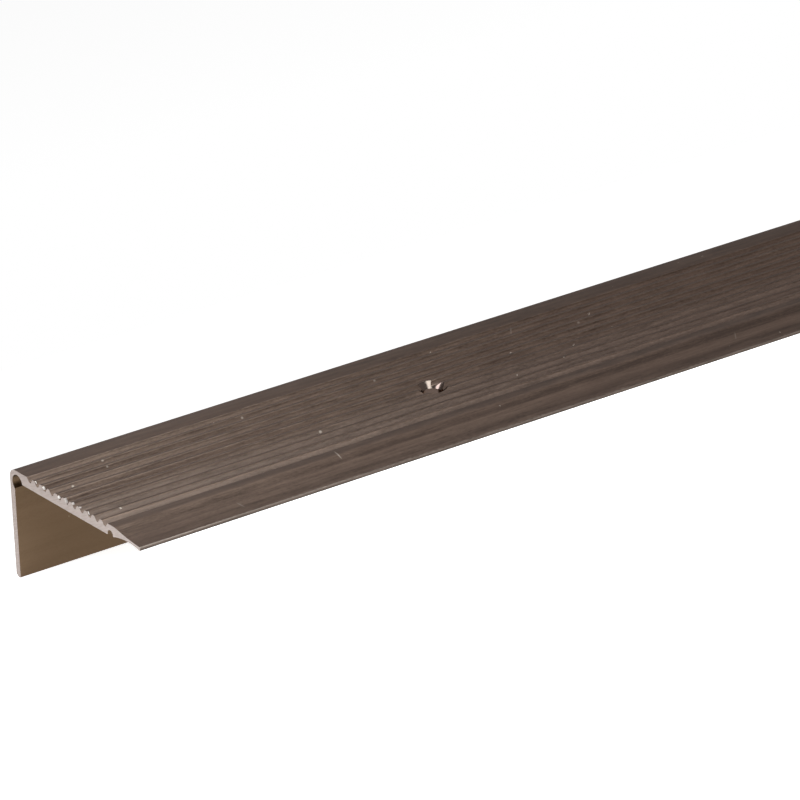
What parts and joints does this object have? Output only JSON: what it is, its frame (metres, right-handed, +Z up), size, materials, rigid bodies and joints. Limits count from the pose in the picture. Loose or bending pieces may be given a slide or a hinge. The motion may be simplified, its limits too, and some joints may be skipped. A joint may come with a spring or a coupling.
{
  "type": "stair nose",
  "caption": "Extruded aluminium stair nose: a serrated tread flange with a feathered rear toe, a short riser leg and a row of countersunk screw holes.",
  "frame": {"origin": "bottom centre of the box of the bar as it rests on the floor, on the riser leg's lower edge and the rear toe", "axes": "+X along the bar, +Z up, -Y towards the rear toe of the tread; in use the bar is turned about X until the tread is level"},
  "size_m": [1, 0.0496, 0.0207],
  "materials": {
    "anodised_aluminium": "bronze anodised extrusion, satin, smoother in the turned countersinks and bare at the sawn ends"
  },
  "bodies": {
    "root": {"stair_nose": "anodised_aluminium"}
  },
  "joints": []
}
